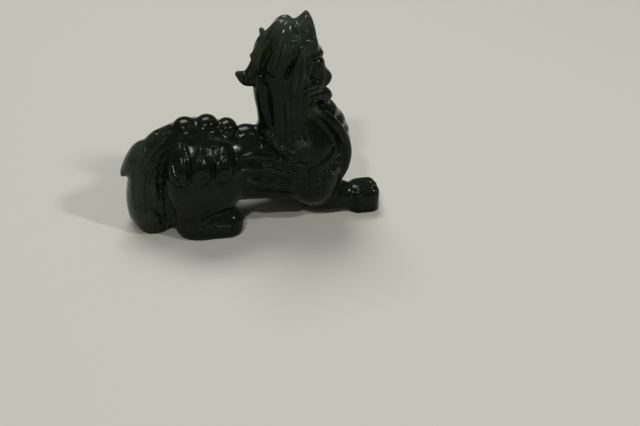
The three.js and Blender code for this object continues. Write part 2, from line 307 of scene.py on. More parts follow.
# %% Breast plate and rims
plate = [(30, 0, 61), (37, 0, 56), (42.5, 0, 48), (44.4, 0, 38), (43, 0, 24)]
rim = [(25, 9, 66), (34, 9.5, 58.5), (41, 9.8, 50), (45, 9.8, 39), (44.5, 9, 28), (41, 8.5, 19)]
crease = [(x - 3.6, y + 2.6, z - 2.6) for x, y, z in rim[:4]]
roll(plate, [3.6] * len(plate), 2.2, seam)
for side in BOTH:
    roll(to_side(side, rim), [1.8, 2.4, 2.7, 2.7, 2.4, 1.8], 1, tight)
    roll(to_side(side, crease), [0.8, 1.8, 2, 1], 1, tight, hollow=True)
print("breast rims", len(BOTH))

# %% [markdown]
# Ribs run across the breast between the rims. They follow a surface that bulges, so each one's
# ends and middle are found by looking for the stone's skin along the grid.

# %% Breast ribs
def plane_of(axis, value):
    """The number of the grid's plane that is closest to a place."""
    return int(np.abs(axes[axis] - value).argmin())


def front(y, z):
    """How far forward the skin is at a place of the front view."""
    filled = np.nonzero(field[:, plane_of(1, y), plane_of(2, z)] < 0)[0]
    return axes[0][filled[-1]]


rib_count, lowest_rib, rib_gap, rib_reach = 6, 29, 5.6, 7
for i in range(rib_count):
    z = lowest_rib + rib_gap * i
    right, middle, left = (front(y, z) for y in (-rib_reach, 0, rib_reach))
    rib = [(right - 1.2, -8, z + 1), (middle - 1.5, 0, z - 0.5), (left - 1.2, 8, z + 1)]
    roll(rib, [1.5, 2.1, 1.5], 1, 2)
print("ribs", rib_count)

# %% [markdown]
# The folded wing lies on the flank. Its front edge runs down from the saddle to the shoulder, and
# long feathers run back from it. They are rolls laid on the skin, so that each stands proud.

# %% Folded wings
def flank(x, z, lift=0.0):
    """How far out from the middle the skin is at a place of the side view."""
    filled = np.nonzero(field[plane_of(0, x), :, plane_of(2, z)] < 0)[0]
    return (abs(axes[1][filled[0]]) if len(filled) else 0.0) + lift


def laid(side, marks, lift):
    """Marks (x, z) of the side view, laid on the skin of one side with a small lift."""
    return [(x, side * flank(x, z, lift), z) for x, z in marks]


feather_rows = [(40.5, 1.9), (35, 2.1), (28.5, 2.7), (21.5, 2.5)]
for side in BOTH:
    feathers = []
    for i, (z, half) in enumerate(feather_rows):
        marks = [(19, z - 4.5), (8, z - 2), (-3, z), (-10 + i, z - 0.5)]
        feathers.append((laid(side, marks, -0.4), half))
    wing_front = laid(side, [(5.6, 50), (8, 47.8), (11, 45.6), (18, 40.5)], -0.6)
    for feather, half in feathers:
        roll(feather, [half, half * 1.05, half, 0.8], 1, tight)
    roll(wing_front, [1.6, 2.2, 2.2, 1.6], 1, tight)
print("feathers", len(feather_rows) * len(BOTH))

# %% [markdown]
# A low cap with a scalloped border lies over each thigh, under flame-like locks. Such forms could
# be separate meshes, but on one stone they swell out of the skin. So the next tool lifts the skin
# inside a closed drawing of the side view and rounds it down to the border. The cap comes first,
# as two low steps.

# %% Raised drawings: thigh caps
pen_step, spine_half = 0.8, 3.0


def drawn(outline, edge):
    """Distance to a closed drawing of the side view, negative inside it, near the drawing."""
    loop = through([(x, 0, z) for x, z in (*outline, outline[0])], pen_step)[:, ::2]
    low, high = loop.min(0) - edge, loop.max(0) + edge
    part, places = near((low[0], -width, low[1]), (high[0], width, high[1]))
    x, z = places[0][..., None], places[2][..., None]
    (ax, az), (bx, bz) = loop[:-1].T, loop[1:].T
    wide, tall = bx - ax, bz - az
    share = np.clip(((x - ax) * wide + (z - az) * tall) / (wide**2 + tall**2 + TINY), 0, 1)
    away = np.hypot(x - ax - share * wide, z - az - share * tall).min(-1)
    ahead = x - ax < wide * (z - az) / np.where(tall == 0, TINY, tall)
    crossed = ((az > z) != (bz > z)) & ahead
    return part, places, np.where(crossed.sum(-1) % 2, -away, away)


def raised(outline, rise, edge):
    """Lifts the skin of both flanks inside a closed drawing, but not near the spine."""
    part, places, away = drawn(outline, grain)
    share = np.clip(-away / edge, 0, 1)
    on_flank = np.clip((np.abs(places[1]) - spine_half) / spine_half, 0, 1)
    field[part] -= rise * np.sqrt(1 - (1 - share) ** 2) * on_flank


thigh_cap = [
    (-43, 33), (-43.4, 39), (-41.4, 45), (-37, 49.4), (-31.6, 51.2), (-25.4, 51.4), (-19.2, 50),
    (-13.4, 47), (-9.6, 42), (-8.8, 35), (-12.6, 31.6), (-16.4, 31), (-21.6, 33), (-27.6, 31),
    (-33, 32.6), (-37.6, 31),
]
skirt = [
    (-42.6, 44), (-43, 38), (-41.6, 33.6), (-38.6, 31.2), (-35, 32), (-33, 33.6), (-30.6, 31.6),
    (-27, 30.6), (-24, 32), (-22, 33.6), (-19.6, 32.2), (-16, 31.6), (-13, 33), (-10.4, 37),
    (-9.6, 42), (-12, 46.6), (-19, 49.4), (-26, 50.6), (-33, 50.2), (-39, 48),
]
raised(thigh_cap, 0.4, 3)
raised(skirt, 0.6, 2.4)
print("with the thigh caps", volume(), "cubic centimetres")

# %% [markdown]
# The locks lie on the cap side by side, each with a round lower end, and stand higher than the
# cap. The thigh below them is left smooth, which makes the polish show.

# %% Thigh locks
locks = [
    [(-35.6, 50), (-40, 46), (-42.4, 40), (-42, 34.4), (-38.8, 31.2), (-34.8, 32), (-32.6, 36),
     (-32.6, 41.6), (-33, 46.6)],
    [(-25.8, 49.4), (-30.2, 45), (-31.8, 38.6), (-31, 33), (-27, 30.6), (-23.6, 32.8), (-22.4, 38),
     (-22.8, 44)],
    [(-15.4, 48), (-19.4, 44), (-20.8, 38), (-19.4, 33), (-15.4, 31.6), (-11.8, 35), (-10.8, 41),
     (-12.4, 45.8)],
]
for outline in locks:
    raised(outline, 2.2, 4.6)
print("locks", len(locks) * len(BOTH))

# %% [markdown]
# The head is thrown back. A crest runs down the nape and ends in a hook, and two small knobs
# stand on it. It is a roll that stays in the middle plane, so it is made without sides.

# %% Crest
crest = [
    (15, 0, 104.4), (10.4, 0, 99.8), (6.4, 0, 95.4), (4.6, 0, 90), (3, 0, 83.6), (-1, 0, 76.3),
    (-7.2, 0, 79.8),
]
roll(crest, [2.2, 2.2, 3.2, 3.6, 3.4, 4, 0.9], 0.9, tight)
crest_knobs = [
    ([(7, 0, 96.6), (5.4, 0, 99.8), (4.7, 0, 101.8)], [2, 1.4, 0.9]),
    ([(2.4, 0, 87.4), (-0.4, 0, 88.2)], [1.6, 1.3]),
]
for points, halves in crest_knobs:
    roll(points, halves, 1, 0.4)
print("crest knobs", len(crest_knobs))

# %% [markdown]
# A broad horn lies back on each side of the head, as one flat roll. The slot in front of it reads
# as a black line, so it is cut deep. A shallow groove parts the horn from the crest.

# %% Horns
horn = [
    (17.5, 1, 104.4), (16.3, 4.2, 101.4), (15, 6.4, 96.8), (13.6, 7.6, 91.6), (11.4, 8.4, 85.4),
    (9, 8.6, 80.8),
]
horn_slot = [
    (19, 4.6, 103.4), (19.9, 6.8, 99.6), (20, 8.4, 95.6), (18.8, 9.6, 90.4), (16.4, 10.6, 85.2),
    (13.6, 11.6, 79.5),
]
nape = [(10.4, 99.6), (9, 95.6), (7.4, 90.8), (5.6, 84.6), (3.6, 79)]
for side in BOTH:
    roll(to_side(side, horn), [2, 3.8, 5.2, 5.6, 5.2, 4.2], 0.6, 0.6)
    roll(to_side(side, horn_slot), [0.6, 1.2, 1.5, 1.4, 1.2, 0.8], 1.5, 0.8, hollow=True)
    roll(laid(side, nape, 0.1), [0.9, 1.7, 1.9, 1.9, 1.2], 1, 1, hollow=True)
print("horns", len(BOTH))

# %% [markdown]
# The muzzle is narrow and has a clear outline from the side, with an upturned nose and an upper
# lip. Such forms are sawn across the block, so the next tool is a slab whose outline is drawn
# from the side and whose half width changes from place to place.

# %% Slabs: nose and muzzle
ALONG_X, ALONG_Z = 0, 2


def slab(outline, halves, along, corner, soft):
    """A slab across the middle plane: its half width follows stations along X or Z."""
    part, places, away = drawn(outline, soft + spare)
    stations, widths = zip(*halves)
    over = np.abs(places[1]) - np.interp(places[along], stations, widths) + corner
    away = away + corner
    outside = np.hypot(np.maximum(away, 0), np.maximum(over, 0))
    merge(part, outside + np.minimum(np.maximum(away, over), 0) - corner, soft)


nose = [
    (17, 99), (20.2, 102.8), (23, 105.8), (25.7, 108.8), (27.8, 106), (29.2, 101.6), (30, 96.6),
    (30.6, 91), (20, 91),
]
muzzle = [
    (15, 99), (24, 99), (29.6, 96.8), (31.6, 91.6), (33.8, 87.4), (33, 85.8), (29, 87), (24.6, 88.4),
    (15, 87),
]
slab(nose, [(92, 6.4), (98, 5.8), (103, 4.6), (106, 3.1), (109, 1.6)], ALONG_Z, 1.8, tight)
slab(muzzle, [(15, 9), (24, 7.8), (30, 5.6), (34, 3.2)], ALONG_X, 2.2, tight)
print("nose tip", max(z for x, z in nose), "mm high")

# %% [markdown]
# Below the muzzle come the jaw, whose beard tuft juts forward, and the throat with a second tuft.
# The mouth is open: its corners are hollowed from both sides, and the stone that is left between
# them stands for the tongue.

# %% Jaw, throat and mouth
def sunk(outline, kept, soft):
    """Hollows both flanks inside a closed drawing, down to the kept half width."""
    part, places, away = drawn(outline, soft + spare)
    merge(part, np.maximum(away, kept - np.abs(places[1])), soft, hollow=True)


jaw = [
    (15, 83), (25, 85), (31, 86), (33.4, 85.4), (35, 80.4), (38.7, 73.8), (37.6, 71.4), (34.6, 70),
    (26, 69.4), (15, 70),
]
throat = [(15, 72), (28, 70.4), (34, 68.8), (38.6, 66), (39.3, 64), (37.2, 61.4), (31, 59.4), (18, 58)]
mouth_corner = [(27.2, 84.4), (31, 83.8), (32.2, 80), (32.4, 76.8), (30, 75.6), (27.4, 77)]
tongue_half = 4
slab(jaw, [(15, 9), (26, 7.6), (32, 5.6), (38.6, 1.8)], ALONG_X, 1.8, tight)
slab(throat, [(15, 11), (28, 7.6), (34, 5), (39, 1.8)], ALONG_X, 1.8, tight)
sunk(mouth_corner, tongue_half, 1.8)
print("tongue", 2 * tongue_half, "mm wide")

# %% [markdown]
# The face has a scoop beside the nose, a brow, an eye, lips, folds on the cheek and the jaw and a
# hollow above the lower tuft. All of them are wide enough for the grid to hold.

# %% Face
scoop = [(25.4, 4.4, 106.6), (25, 6.6, 101.4), (25.8, 8.4, 95.6)]
brow, eye = [(22, 101), (22.6, 98), (24.4, 95.6)], [(22, 94)]
lip = [(33, 1.2, 87.6), (30, 5, 88.4), (26.8, 6.8, 88)]
mouth_fold = [(25.6, 7.6, 89), (26.2, 7.8, 85.6), (25, 8, 81.2), (24, 8.2, 77)]
cheeks = [
    [(22.4, 8.6, 90), (22, 9.8, 82), (20.8, 10.6, 73)],
    [(19.4, 9.6, 88), (18.6, 11, 81), (17.4, 11.6, 71)],
]
jaw_fold, jaw_folds, fold_gap = [(22, 73.4), (28, 74), (34, 72.4)], 3, 2.6
for side in BOTH:
    roll(to_side(side, scoop), [1.3, 3.4, 2.6], 1, 0.5, hollow=True)
    roll(laid(side, brow, -0.5), [0.9, 1.3, 0.9], 1, 0.4)
    ball(laid(side, eye, -0.6)[0], (1.5, 1.5, 1.7), 0.4)
    roll(to_side(side, lip), [1.4, 1.6, 1.2], 1, 1)
    roll(to_side(side, mouth_fold), [0.8, 1.4, 1.3, 0.8], 1, 1)
    for cheek in cheeks:
        roll(to_side(side, cheek), [1.2, 1.9, 1.3], 1, 0.6)
    for i in range(jaw_folds):
        marks = [(x - i, z - fold_gap * i) for x, z in jaw_fold]
        roll(laid(side, marks, -0.3), [1, 1.3, 0.9], 1, 0.5)
    ball((31, side * 7, 62.6), (4, 3.6, 2), 0.8, hollow=True)
print("cheek strands", len(cheeks) * len(BOTH))

# %% [markdown]
# Beside the ridge down the neck lie a shallow flute, a plain polished panel and then the mane's
# strands. Curls cover the shoulder below them.

# %% Neck flutes, mane and shoulder curls
flute = [(3.8, 78), (4.4, 71), (5.2, 63), (7.4, 54)]
strand_roots = [(15, 53), (18, 51), (21, 52), (24, 54)]
shoulder_curls = [
    (20.6, 34.6, 3.2), (27.4, 31.6, 3.5), (34, 28.6, 3.4), (38.6, 34, 3), (23.6, 27.4, 3),
    (30, 23.6, 3.2),
]
for side in BOTH:
    roll(laid(side, flute, 1.8), [3, 3.5, 3.4, 1.6], 1, 1, hollow=True)
    strands = [laid(side, [(x, 73), (x + 0.2, 66), (x + 0.4, 59), (x - 0.4, end)], -1.2)
               for x, end in strand_roots]
    for strand in strands:
        roll(strand, [1.3, 1.9, 1.5, 0.4], 1, 1.4)
    for x, z, radius in shoulder_curls:
        ball(laid(side, [(x, z)], -1.2)[0], (radius, 2, radius), 0.6)
print("mane strands", len(strand_roots) * len(BOTH))

# %% [markdown]
# The table's plane cuts the block flat, so that the carving stands on its soles, and the other
# planes of the solid's box keep the carving inside it.

# %% Flat soles
for axis in range(3):
    place = axes[axis].reshape([-1 if i == axis else 1 for i in range(3)])
    low, high = cad_low[axis] / MM, cad_high[axis] / MM
    np.maximum(field, np.maximum(low - place, place - high), out=field)
print("stone", volume(), "cubic centimetres")

# %% [markdown]
# The field is turned into a mesh. Blender's Volume to Mesh tool can't read an array, so the script
# does it. Each cell that the skin crosses gets a point at the mean of its crossings, and four
# such points round each crossed grid line make a face.

# %% From field to mesh
def skin_of(field, axes):
    """Points and four-sided faces of the surface where the field is zero, facing outward."""
    shape = np.array(field.shape)
    cells, spots, faces = [], [], []
    for axis in range(3):
        ends = [np.take(field, np.arange(n, n + shape[axis] - 1), axis) for n in (0, 1)]
        crossed = np.argwhere((ends[0] < 0) != (ends[1] < 0))
        a, b = (end[tuple(crossed.T)] for end in ends)
        spot = crossed.astype(float)
        spot[:, axis] += a / (a - b)
        ring = np.zeros((len(crossed), 4, 3), int) + crossed[:, None]
        for corner, (u, v) in enumerate(((0, 0), (-1, 0), (-1, -1), (0, -1))):
            ring[:, corner, (axis + 1) % 3] += u
            ring[:, corner, (axis + 2) % 3] += v
        ids = np.ravel_multi_index(ring.reshape(-1, 3).T, shape).reshape(-1, 4)
        faces.append(np.where((a < 0)[:, None], ids, ids[:, ::-1]))
        cells.append(ids.ravel())
        spots.append(np.repeat(spot, 4, axis=0))
    kept, place = np.unique(np.concatenate(cells), return_inverse=True)
    spots = np.concatenate(spots)
    count = np.bincount(place)
    points = np.stack([np.bincount(place, spots[:, i]) / count for i in range(3)], 1)
    points = points * grain + np.array([axis[0] for axis in axes])
    return points, np.searchsorted(kept, np.concatenate(faces))


def placed(title, data):
    """A new object in the scene."""
    made = bpy.data.objects.new(title, data)
    bpy.context.scene.collection.objects.link(made)
    return made


points, faces = skin_of(field, axes)
mesh = bpy.data.meshes.new("rough_stone")
mesh.from_pydata((points * MM).tolist(), [], faces.tolist())
mesh.shade_smooth()
carving = placed("pixiu_carving_stone", mesh)
print("rough skin", len(points), "points", len(faces) * 2, "triangles")

# %% [markdown]
# Sanding takes the grid's small steps away before any line is cut. Two passes of Blender's Smooth
# modifier are enough at this grain.

# %% First sanding
first_sanding = carving.modifiers.new("first sanding", "SMOOTH")
first_sanding.factor, first_sanding.iterations = 0.5, 2
print("sanding passes", first_sanding.iterations)

# %% [markdown]
# The finest carving follows lines: hairs, feather vanes, toes, curls. On the stone they are cut
# with a thin wheel after the forms. Each could be modelled by hand, but there are about 150, so
# one node tree does them all. Trees are easier to read when the script has a short word for
# adding a node and one for a step of arithmetic.

# %% Helpers for node trees
def add(tree, kind, given=None, **settings):
    """A node with its settings. Each input that is given gets a link or a value."""
    made = tree.nodes.new(kind)
    for key, value in settings.items():
        setattr(made, key, value)
    for key, value in (given or {}).items():
        if isinstance(value, bpy.types.NodeSocket):
            tree.links.new(value, made.inputs[key])
        else:
            made.inputs[key].default_value = value
    return made


def step(tree, operation, *values, kind="ShaderNodeMath"):
    """One step of arithmetic on numbers."""
    made = add(tree, kind, dict(enumerate(values)), operation=operation)
    return next(socket for socket in made.outputs if socket.enabled)


def vector_step(tree, operation, *values):
    """One step of arithmetic on vectors."""
    return step(tree, operation, *values, kind="ShaderNodeVectorMath")


def new_tree(name, inputs, outputs, family="GeometryNodeTree"):
    """An empty tree with named inputs and outputs."""
    tree = bpy.data.node_groups.new(name, family)
    for way, kinds in (("INPUT", inputs), ("OUTPUT", outputs)):
        for label, kind in kinds.items():
            tree.interface.new_socket(label, in_out=way, socket_type="NodeSocket" + kind)
    return tree, tree.nodes.new("NodeGroupInput").outputs


def close_tree(tree, stone, finish):
    """Ends a tree: plain geometry with its material set."""
    whole = add(tree, "GeometryNodeRealizeInstances", {"Geometry": stone}).outputs[0]
    finished = add(tree, "GeometryNodeSetMaterial", {"Geometry": whole, "Material": finish})
    add(tree, "NodeGroupOutput", {0: finished.outputs[0]})


print("helpers", add.__name__, step.__name__, new_tree.__name__, close_tree.__name__)

# %% [markdown]
# The chisel takes a drawing made of curves, whose radius is the half width of the line. First the
# drawing is laid on the skin. With an aim it is thrown at the skin like a ray, and marks that
# miss are dropped. A drawing of the side view is aimed inward from the side on which it stands,
# so the aim turns round with the sign of Y. Without an aim it goes to the closest skin.

# %% The chisel's drawing
ray_length = 0.2


def line_on_skin(tree, entry, here):
    """The drawing's points on the stone's skin, with their half widths as an attribute."""
    drawing = add(tree, "GeometryNodeObjectInfo", {"Object": entry["Drawing"]})
    even = add(tree, "GeometryNodeResampleCurve",
               {"Curve": drawing.outputs["Geometry"], "Length": entry["Spacing"]}, mode="LENGTH")
    half = add(tree, "GeometryNodeInputRadius").outputs[0]
    kept = add(tree, "GeometryNodeStoreNamedAttribute",
               {"Geometry": even.outputs[0], "Name": "half", "Value": half})
    line = add(tree, "GeometryNodeCurveToMesh", {"Curve": kept.outputs[0]}).outputs[0]

    y = add(tree, "ShaderNodeSeparateXYZ", {0: here}).outputs["Y"]
    flip = add(tree, "ShaderNodeCombineXYZ", {0: 1.0, 1: step(tree, "SIGN", y), 2: 1.0}).outputs[0]
    inward = vector_step(tree, "MULTIPLY", entry["Aim"], flip)
    ray = add(tree, "GeometryNodeRaycast", {
        "Target Geometry": entry["Stone"], "Source Position": here, "Ray Direction": inward,
        "Ray Length": ray_length})
    closest = add(tree, "GeometryNodeProximity", {"Geometry": entry["Stone"]}, target_element="FACES")
    aimed = step(tree, "GREATER_THAN", vector_step(tree, "LENGTH", entry["Aim"]), 0.5)
    spot = add(tree, "GeometryNodeSwitch", {
        "Switch": aimed, "False": closest.outputs["Position"],
        "True": ray.outputs["Hit Position"]}, input_type="VECTOR")
    missed = step(tree, "MULTIPLY", aimed, step(tree, "SUBTRACT", 1.0, ray.outputs["Is Hit"]))
    hit = add(tree, "GeometryNodeDeleteGeometry", {"Geometry": line, "Selection": missed})
    return add(tree, "GeometryNodeSetPosition",
               {"Geometry": hit.outputs[0], "Position": spot.outputs[0]}).outputs[0]


print("a mark is thrown", ray_length / MM, "mm at most")

# %% [markdown]
# Then the skin near the line is lifted or sunk. Its distance to the line, as a share of the half
# width, gives a dome across the line, whose roundness is a power. Rise is the dome's height as a
# share of the half width. It is negative for a groove.

# %% The chisel's cut
thinnest = 0.0001


def chisel_tree(name):
    """The whole chisel: it lays the drawing on the stone and moves the skin near it."""
    tree, entry = new_tree(name, {
        "Stone": "Geometry", "Drawing": "Object", "Aim": "Vector", "Rise": "Float",
        "Roundness": "Float", "Spacing": "Float", "Finish": "Material"}, {"Stone": "Geometry"})
    here = add(tree, "GeometryNodeInputPosition").outputs[0]
    line = line_on_skin(tree, entry, here)
    touch = add(tree, "GeometryNodeProximity", {"Geometry": line}, target_element="EDGES")
    half = add(tree, "GeometryNodeInputNamedAttribute", {"Name": "half"}).outputs[0]
    index = add(tree, "GeometryNodeSampleNearest",
                {"Geometry": line, "Sample Position": touch.outputs["Position"]}).outputs[0]
    here_half = add(tree, "GeometryNodeSampleIndex", {"Geometry": line, "Value": half, "Index": index})
    wide = step(tree, "MAXIMUM", here_half.outputs[0], thinnest)
    share = step(tree, "DIVIDE", touch.outputs["Distance"], wide)
    inside = step(tree, "MAXIMUM", step(tree, "SUBTRACT", 1.0, step(tree, "MULTIPLY", share, share)), 0.0)
    dome = step(tree, "POWER", inside, entry["Roundness"])
    lift = step(tree, "MULTIPLY", step(tree, "MULTIPLY", dome, wide), entry["Rise"])
    lift = step(tree, "MULTIPLY", lift, touch.outputs["Is Valid"])
    normal = add(tree, "GeometryNodeInputNormal").outputs[0]
    offset = add(tree, "ShaderNodeVectorMath", {0: normal, "Scale": lift}, operation="SCALE")
    moved = add(tree, "GeometryNodeSetPosition",
                {"Geometry": entry["Stone"], "Offset": offset.outputs[0]})
    close_tree(tree, moved.outputs[0], entry["Finish"])
    return tree


chisel = chisel_tree("cut along drawing")
jade = bpy.data.materials.new("polished_jade")
print("chisel", len(chisel.nodes), "nodes")

# %% [markdown]
# A drawing is a Blender curve object. Each call of the next helper makes one, adds the chisel as
# a modifier to the stone and gives the modifier its values, by the identifier of each input.

# %% Draw and cut
INWARD, NEAREST = (0, -1, 0), (0, 0, 0)
mark_gap = 0.5
drawings = []


def set_inputs(modifier, given):
    """Gives a modifier's inputs their values, found by the names in its node tree."""
    for item in modifier.node_group.interface.items_tree:
        if item.in_out == "INPUT" and item.name in given:
            modifier[item.identifier] = given[item.name]


def cut(title, lines, aim, rise, roundness=0.5):
    """Lays lines of (points, half widths) on the stone and lifts or sinks the skin along them."""
    curve = bpy.data.curves.new(title, "CURVE")
    curve.dimensions = "3D"
    for points, halves in lines:
        path = widened(points, halves, pen_step) * MM
        spline = curve.splines.new("POLY")
        spline.points.add(len(path) - 1)
        for knot, (x, y, z, half) in zip(spline.points, path):
            knot.co = (x, y, z, 1)
            knot.radius = max(half, thinnest)
    drawings.append(placed(title, curve))
    modifier = carving.modifiers.new(title, "NODES")
    modifier.node_group = chisel
    set_inputs(modifier, {"Drawing": drawings[-1], "Aim": aim, "Rise": rise, "Roundness": roundness,
                          "Spacing": mark_gap * MM, "Finish": jade})
    print(title, len(lines), "lines")


print("drawings so far", len(drawings))

# %% [markdown]
# The brush of the tail is combed into long strands. Seen from behind they spread from the root
# and are widest low down. Their points are worked out from the tail's own path, so that they
# always lie just off its skin.

# %% Tail strands from behind
brush = widened(tail_path, tail_halves, 1.0)
proud = 1.5


def on_brush(share, turn):
    """A point just off the brush: share is the way down it, turn goes round it from the back."""
    place = int(share * (len(brush) - 1))
    ahead, behind = brush[min(place + 1, len(brush) - 1)], brush[max(place - 1, 0)]
    along = Vector(ahead[:3] - behind[:3]).normalized()
    outward = Vector((0, -1, 0)).cross(along)
    x, y, z, half = brush[place]
    reach = half + proud
    return (x + outward.x * reach * math.cos(turn), reach * tail_depth * math.sin(turn),
            z + outward.z * reach * math.cos(turn))


strand_count, strand_spread, root_share = 3, 0.5, 0.55
strands = []
for i in range(strand_count):
    turn = strand_spread * (2 * i / (strand_count - 1) - 1)
    line = [on_brush(share, turn * (root_share + (1 - root_share) * share))
            for share in (0.3, 0.52, 0.76, 0.98)]
    strands.append((line, [1.4, 2, 2.2, 2]))
cut("tail_strands", strands, NEAREST, -0.6)

# %% [markdown]
# From the side three long strands bend round the flick, with a finer hair between each two. They
# are drawn once in the side view, stood up on both sides of the beast and aimed inward.

# %% Tail strands from the side
def cut_sides(title, lines, halves, rise, roundness=0.5):
    """Cuts side drawings on both flanks. One half width, or one for each mark, serves all lines."""
    halves = np.broadcast_to(halves, (len(lines), len(lines[0])))
    both = [([(x, side * width, z) for x, z in marks], half)
            for side in BOTH for marks, half in zip(lines, halves)]
    cut(title, both, INWARD, rise, roundness)


flank_strands = [
    [(-42, 53), (-48, 48.4), (-54, 41.4), (-57.6, 33), (-58.8, 24), (-57.4, 12), (-54, 2)],
    [(-41, 50.4), (-46.6, 45.8), (-51.6, 38.8), (-55, 30), (-56, 20), (-54.4, 10), (-52, 2)],
    [(-41, 47.4), (-45.4, 43), (-49.4, 36.4), (-52.4, 28), (-53.2, 18), (-51.6, 9), (-49.6, 2)],
]
cut_sides("tail_flank", flank_strands, [0.7, 1.2, 1.2, 1.2, 1.2, 1.2, 0.9], -0.7)
hairs = [[((x + u) / 2, (z + v) / 2) for (x, z), (u, v) in zip(one[:-1], two)]
         for one, two in zip(flank_strands, flank_strands[1:])]
cut_sides("tail_hairs", hairs, 0.6, -0.4)

# %% [markdown]
# A column of small curls runs down the tail's side. Curls come back on the thigh, the shoulder
# and the wing, so one helper makes the marks of a spiral.

# %% Tail curls
def spiral(x, z, radius, turns, start):
    """Marks of a spiral that winds in from its radius."""
    marks, most = [], turns * 8
    for i in range(int(most) + 1):
        angle, reach = start + i * math.pi / 4, radius * (1 - i / (most + 1))
        marks.append((x + reach * math.cos(angle), z + reach * math.sin(angle)))
    return marks


curl_count, curl_gap = 7, 5.2
tail_curls = [spiral(-45.6 - 0.6 * (i % 2), 8 + curl_gap * i, 2.6, 1.1, 1.5 * i)
              for i in range(curl_count)]
cut_sides("tail_curls", tail_curls, 0.9, -0.8)

# %% [markdown]
# The locks on the thigh get flow lines and end in a spiral, all cut as grooves. A wide soft
# crease parts the foot from the thigh.

# %% Thigh lines
flow_lines = [
    [(-37.4, 47), (-39, 43), (-38.6, 39.6)], [(-32.8, 49), (-32.4, 42), (-32.8, 34)],
    [(-26.6, 46.4), (-28.2, 42.4), (-27.6, 39)], [(-22, 48), (-21.6, 41), (-22, 34)],
    [(-15.8, 45.4), (-17, 42), (-16.6, 39.4)],
]
lock_curls = [(-37.6, 35.4, 3.3), (-27.2, 34.6, 3.4), (-16.2, 35.8, 3.2)]
foot_crease = [(-29, 7.6), (-26.6, 10.8), (-22, 13.4), (-15, 14)]
cut_sides("flow_lines", flow_lines, [0.8, 1.5, 0.9], -0.6)
cut_sides("lock_curls", [spiral(x, z, radius, 1.25, 0) for x, z, radius in lock_curls], 1.3, -0.7)
cut_sides("foot_crease", [foot_crease], [0.6, 1.8, 2.4, 2], -0.4, 1)

# %% [markdown]
# The curls on the shoulder are spirals on the low knobs there. Each starts at another angle, as
# if cut by eye.

# %% Shoulder curls
curl_starts, widest_curl = [0, 2, 1, 3, 4, 5], 3.4
curls = [spiral(x, z, min(radius, widest_curl), 1.3, start)
         for (x, z, radius), start in zip(shoulder_curls, curl_starts)]
cut_sides("elbow_curls", curls, 0.9, -1.2)

# %% [markdown]
# Toes are parted by lines over the front of each paw. They go to the closest skin, because they
# bend round the paw.

# %% Toe lines
paws = [
    ([(53, 13.6), (59, 14), (64.6, 10), (65.4, 2)], (-8.6, -4.6, -0.6), [0.6, 1.1, 1.2, 1]),
    ([(-14, 13), (-8.6, 11.6), (-6, 7), (-6, 1)], (-11.6, -16.8, 11.6, 16.8), [0.6, 1.1, 1.2, 1]),
    ([(30, 11), (35, 10), (37.4, 6), (37.4, 1)], (8.8, 13), [0.6, 1, 1.1, 0.9]),
]
toe_lines = [([(x, y, z) for x, z in marks], halves) for marks, places, halves in paws for y in places]
cut("toe_lines", toe_lines, NEAREST, -1)

# %% [markdown]
# Each feather of the wing has two vane lines. The wing's front edge carries a row of short raised
# strokes, which read as beads, and curls lie behind it. Below the wing a shallow crease parts the
# round shoulder from the foreleg.

# %% Wing lines and shoulder crease
vanes = []
for i, (z, half) in enumerate(feather_rows):
    for shift in (-0.9, 0.7):
        vanes.append([(18, z - 4.3 + shift), (8, z - 2 + shift), (-3, z + shift * 0.8), (-9 + i, z - 0.4)])
cut_sides("wing_vanes", vanes, [0.7, 0.8, 0.8, 0.6], -0.7)
edge_path = through([(5.4, 0, 50.4), (7.4, 0, 48.4), (10.2, 0, 46), (17, 0, 41)], 2)
strokes = [[(x + 1, z + 0.8), (x - 0.6, z - 0.4), (x - 1.6 - i % 3, z - 1.8 - i % 3)]
           for i, (x, _, z) in enumerate(edge_path)]
cut_sides("wing_edge", strokes, [[1.2, 1.1 + 0.5 * (i % 2), 0.6] for i in range(len(strokes))], 0.8)
wing_curls = [(3.4, 46, 0), (7, 37.6, 2), (15.6, 35.6, 4)]
curls = [spiral(x, z, 2.3, 1.2, start) for x, z, start in wing_curls]
cut_sides("wing_curls", curls, 0.8, -0.8)
shoulder_crease = [(20, 38), (26, 36.6), (31, 38.8), (35, 41), (39, 45.5)]
cut_sides("shoulder_crease", [shoulder_crease], [1.2, 2, 2.2, 2, 1.2], -0.45)

# %% [markdown]
# Hair lines run down the mane, the cheek and the crest, as thin grooves along the forms that were
# raised before. Lines that lie side by side are copies of one line.

# %% Hair lines
def shifted(marks, shifts):
    """A copy of one line for each shift along the beast."""
    return [[(x + shift, z) for x, z in marks] for shift in shifts]


mane_line = [(-0.5, 72), (0, 64), (0.6, 56), (0.8, 50)]
mane_places = (13.4, 16.5, 19.5, 22.5)
cut_sides("mane_lines", shifted(mane_line, mane_places), [0.7, 0.8, 0.8, 0.6], -0.8)
cheek_lines = [
    [(21, 91), (20.6, 82), (19, 72)], [(23.6, 88), (23.4, 80), (22.4, 73)],
    [(17.4, 84), (16.4, 78), (14.6, 71)],
]
cut_sides("cheek_lines", cheek_lines, [0.5, 0.8, 0.6], -0.7)
crest_line = [(9.5, 100.5), (4.4, 94), (3, 88), (2.2, 82), (0.4, 77.6)]
cut_sides("crest_lines", shifted(crest_line, (-2.2, -0.4)), [0.6, 0.8, 0.8, 0.8, 0.6], -0.8)

# %% [markdown]
# The horn has two long grooves, a row of short notches along its slot and a deeper line behind
# it. Two fine lines edge the lower jaw.

